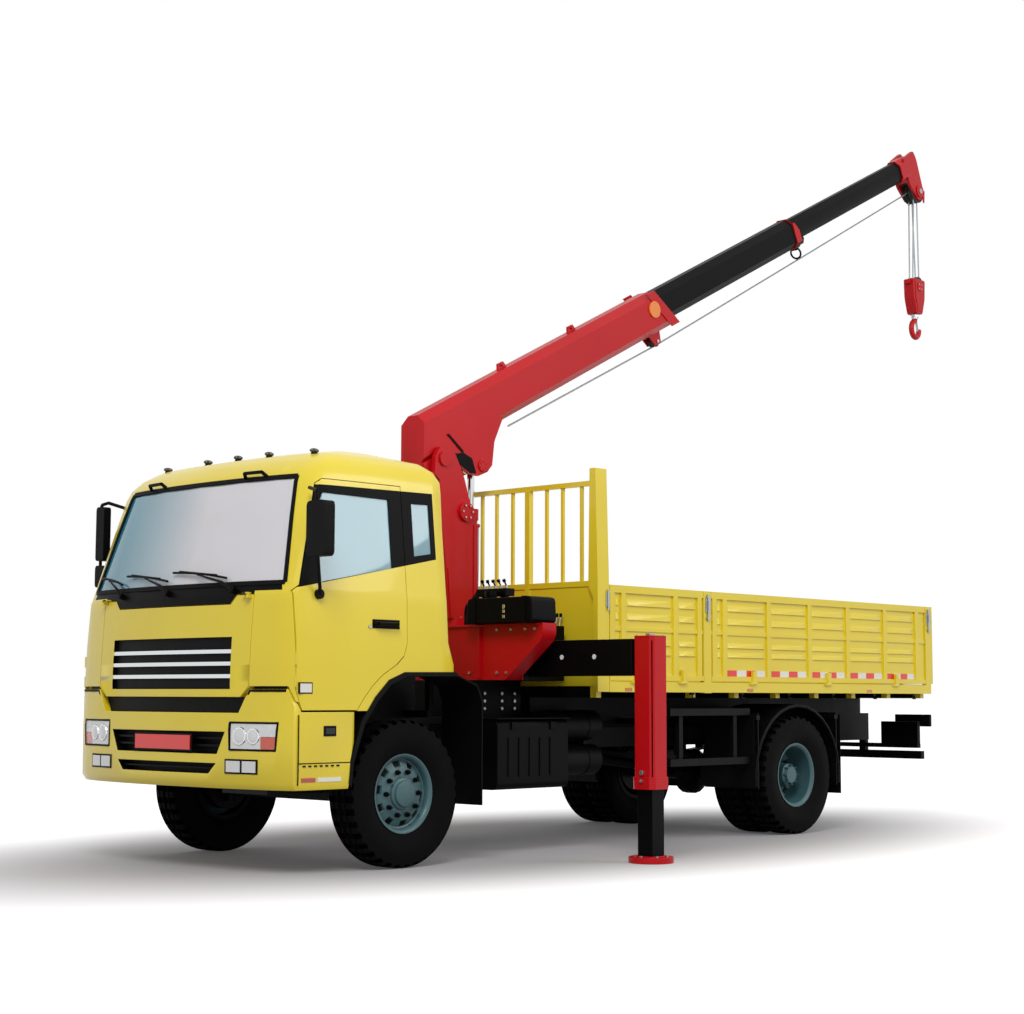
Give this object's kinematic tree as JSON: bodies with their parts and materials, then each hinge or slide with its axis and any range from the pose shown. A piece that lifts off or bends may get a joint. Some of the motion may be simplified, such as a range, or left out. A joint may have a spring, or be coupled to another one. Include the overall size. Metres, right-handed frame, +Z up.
{
  "type": "mobile crane",
  "caption": "Cab-over flatbed truck with a slewing telescopic loader crane between cab and dropside bed, with outriggers and hook block.",
  "frame": {"origin": "centre of the bounding box footprint, on the ground", "axes": "+X forward to the cab, +Y to the left side, +Z up"},
  "size_m": [10.3556, 3.601, 7.3619],
  "materials": {
    "yellow_paint": "gloss",
    "red_paint": "gloss",
    "black_paint": "satin",
    "dark_paint": "satin",
    "engine_paint": "cast",
    "tank_metal": "satin",
    "steel": "drawn wire",
    "chrome": "polished",
    "tyre": "matt",
    "wheel_paint": "satin",
    "glass": "clear",
    "cloth": "woven",
    "plastic": "grained"
  },
  "bodies": {
    "chassis": {"chassis_frame": "black_paint", "front_axle": "black_paint", "rear_axle": "black_paint", "drive_shaft": "dark_paint", "engine_block": "engine_paint", "front_mudguards": "plastic", "battery_box": "black_paint", "fuel_tank": "tank_metal", "rear_bumper": "black_paint", "bed_floor": "yellow_paint", "headboard": "yellow_paint", "crane_base": "red_paint", "oil_tank": "black_paint"},
    "cab": {"cab_shell": "yellow_paint", "bumper": "yellow_paint", "windscreen": "glass", "quarter_glass_left": "glass", "quarter_glass_right": "glass", "dashboard": "plastic", "driver_seat": "cloth", "passenger_seat": "cloth"},
    "front_panel_body": {"front_panel": "yellow_paint"},
    "boom": {"boom_base": "red_paint"},
    "boom_middle": {"boom_section_2": "black_paint"},
    "boom_tip": {"boom_section_3": "black_paint", "boom_head": "red_paint"},
    "column": {"crane_column": "red_paint"},
    "luff_barrel": {"luff_cylinder": "red_paint"},
    "luff_piston": {"luff_rod": "chrome"},
    "hook_swing": {"rope_falls": "steel"},
    "block": {"hook_block": "red_paint"},
    "hook_body": {"hook": "red_paint"},
    "tailgate_body": {"tailgate": "yellow_paint"},
    "left_door": {"door_left": "yellow_paint", "door_glass_left": "glass", "mirror_left": "plastic"},
    "left_knuckle": {"steering_knuckle_left": "black_paint"},
    "left_front_wheel": {"front_tyre_left": "tyre", "front_rim_left": "wheel_paint"},
    "left_rear_wheels": {"rear_tyres_left": "tyre", "rear_rims_left": "wheel_paint"},
    "left_outrigger": {"outrigger_beam_left": "black_paint", "outrigger_leg_left": "red_paint"},
    "left_jack": {"outrigger_jack_left": "black_paint"},
    "left_front_gate": {"front_gate_left": "yellow_paint"},
    "left_rear_gate": {"rear_gate_left": "yellow_paint"},
    "right_door": {"door_right": "yellow_paint", "door_glass_right": "glass", "mirror_right": "plastic"},
    "right_knuckle": {"steering_knuckle_right": "black_paint"},
    "right_front_wheel": {"front_tyre_right": "tyre", "front_rim_right": "wheel_paint"},
    "right_rear_wheels": {"rear_tyres_right": "tyre", "rear_rims_right": "wheel_paint"},
    "right_outrigger": {"outrigger_beam_right": "black_paint", "outrigger_leg_right": "red_paint"},
    "right_jack": {"outrigger_jack_right": "black_paint"},
    "right_front_gate": {"front_gate_right": "yellow_paint"},
    "right_rear_gate": {"rear_gate_right": "yellow_paint"}
  },
  "joints": [
    {"name": "cab_tilt", "type": "hinge", "parent": "chassis", "child": "cab", "pos_m": [4.88582, -0.4355, 0.85], "axis": [0, 1, 0], "range_deg": [0, 45]},
    {"name": "front_panel_lift", "type": "hinge", "parent": "cab", "child": "front_panel_body", "pos_m": [5.12582, -0.4355, 1.915], "axis": [0, -1, 0], "range_deg": [0, 70]},
    {"name": "left_door_open", "type": "hinge", "parent": "cab", "child": "left_door", "pos_m": [5.00082, 0.7945, 0], "axis": [0, 0, -1], "range_deg": [0, 70]},
    {"name": "left_steer", "type": "hinge", "parent": "chassis", "child": "left_knuckle", "pos_m": [3.88582, 0.3945, 0.525], "axis": [0, 0, 1], "range_deg": [-35, 35]},
    {"name": "left_front_roll", "type": "hinge", "parent": "left_knuckle", "child": "left_front_wheel", "pos_m": [3.88582, 0.5795, 0.525], "axis": [0, 1, 0], "continuous": true},
    {"name": "left_rear_roll", "type": "hinge", "parent": "chassis", "child": "left_rear_wheels", "pos_m": [-0.88818, 0.4895, 0.525], "axis": [0, 1, 0], "continuous": true},
    {"name": "left_outrigger_slide", "type": "slide", "parent": "chassis", "child": "left_outrigger", "axis": [0, 1, 0], "range_m": [-0.95, 0]},
    {"name": "left_jack_lift", "type": "slide", "parent": "left_outrigger", "child": "left_jack", "axis": [0, 0, 1], "range_m": [0, 0.45]},
    {"name": "left_front_gate_drop", "type": "hinge", "parent": "chassis", "child": "left_front_gate", "pos_m": [1.77082, 0.8265, 1.335], "axis": [-1, 0, 0], "range_deg": [0, 175]},
    {"name": "left_rear_gate_drop", "type": "hinge", "parent": "chassis", "child": "left_rear_gate", "pos_m": [0.43582, 0.8265, 1.335], "axis": [-1, 0, 0], "range_deg": [0, 175]},
    {"name": "right_door_open", "type": "hinge", "parent": "cab", "child": "right_door", "pos_m": [5.00082, -1.6655, 0], "axis": [0, 0, 1], "range_deg": [0, 70]},
    {"name": "right_steer", "type": "hinge", "parent": "chassis", "child": "right_knuckle", "pos_m": [3.88582, -1.2655, 0.525], "axis": [0, 0, 1], "range_deg": [-35, 35]},
    {"name": "right_front_roll", "type": "hinge", "parent": "right_knuckle", "child": "right_front_wheel", "pos_m": [3.88582, -1.4505, 0.525], "axis": [0, 1, 0], "continuous": true},
    {"name": "right_rear_roll", "type": "hinge", "parent": "chassis", "child": "right_rear_wheels", "pos_m": [-0.88818, -1.3605, 0.525], "axis": [0, 1, 0], "continuous": true},
    {"name": "right_outrigger_slide", "type": "slide", "parent": "chassis", "child": "right_outrigger", "axis": [0, -1, 0], "range_m": [0, 0.95]},
    {"name": "right_jack_lift", "type": "slide", "parent": "right_outrigger", "child": "right_jack", "axis": [0, 0, 1], "range_m": [0, 0.45]},
    {"name": "right_front_gate_drop", "type": "hinge", "parent": "chassis", "child": "right_front_gate", "pos_m": [1.77082, -1.6975, 1.335], "axis": [1, 0, 0], "range_deg": [0, 175]},
    {"name": "right_rear_gate_drop", "type": "hinge", "parent": "chassis", "child": "right_rear_gate", "pos_m": [0.43582, -1.6975, 1.335], "axis": [1, 0, 0], "range_deg": [0, 175]},
    {"name": "tailgate_drop", "type": "hinge", "parent": "chassis", "child": "tailgate_body", "pos_m": [-3.19018, -0.4355, 1.325], "axis": [0, -1, 0], "range_deg": [0, 90]},
    {"name": "crane_slew", "type": "hinge", "parent": "chassis", "child": "column", "pos_m": [2.28582, -0.4355, 1.81], "axis": [0, 0, 1], "continuous": true},
    {"name": "boom_luff", "type": "hinge", "parent": "column", "child": "boom", "pos_m": [2.58578, -0.4355, 3.13589], "axis": [0, 1, 0], "range_deg": [-25.8, 51.2]},
    {"name": "luff_barrel_turn", "type": "hinge", "parent": "column", "child": "luff_barrel", "pos_m": [2.10582, -0.4355, 1.88], "axis": [0, 1, 0], "range_deg": [-2.01, 3.78]},
    {"name": "luff_rod_slide", "type": "slide", "parent": "luff_barrel", "child": "luff_piston", "axis": [-0.016, 0, 0.9999], "range_m": [-0.207, 0.409]},
    {"name": "boom_telescope", "type": "slide", "parent": "boom", "child": "boom_middle", "axis": [-0.8926, 0, 0.4509], "range_m": [-2.2, 0]},
    {"name": "boom_tip_telescope", "type": "slide", "parent": "boom_middle", "child": "boom_tip", "axis": [-0.8926, 0, 0.4509], "range_m": [-2.2, 0]},
    {"name": "hook_hang", "type": "hinge", "parent": "boom_tip", "child": "hook_swing", "pos_m": [-5.05418, -0.4355, 6.93], "axis": [0, 1, 0], "range_deg": [-52, 27]},
    {"name": "hook_hoist", "type": "slide", "parent": "hook_swing", "child": "block", "axis": [0, 0, 1], "range_m": [0, 0.6], "deforming": ["rope_falls"]},
    {"name": "hook_swivel", "type": "hinge", "parent": "block", "child": "hook_body", "pos_m": [-5.05418, -0.4355, 5.48], "axis": [0, 0, 1], "continuous": true}
  ],
  "couplings": [
    {"joint": "right_steer", "follows": "left_steer", "ratio": 1},
    {"joint": "luff_barrel_turn", "follows": "boom_luff", "ratio": 0.07},
    {"joint": "luff_rod_slide", "follows": "boom_luff", "m_per_rad": 0.455},
    {"joint": "boom_tip_telescope", "follows": "boom_telescope", "ratio": 1},
    {"joint": "hook_hang", "follows": "boom_luff", "ratio": -1}
  ]
}
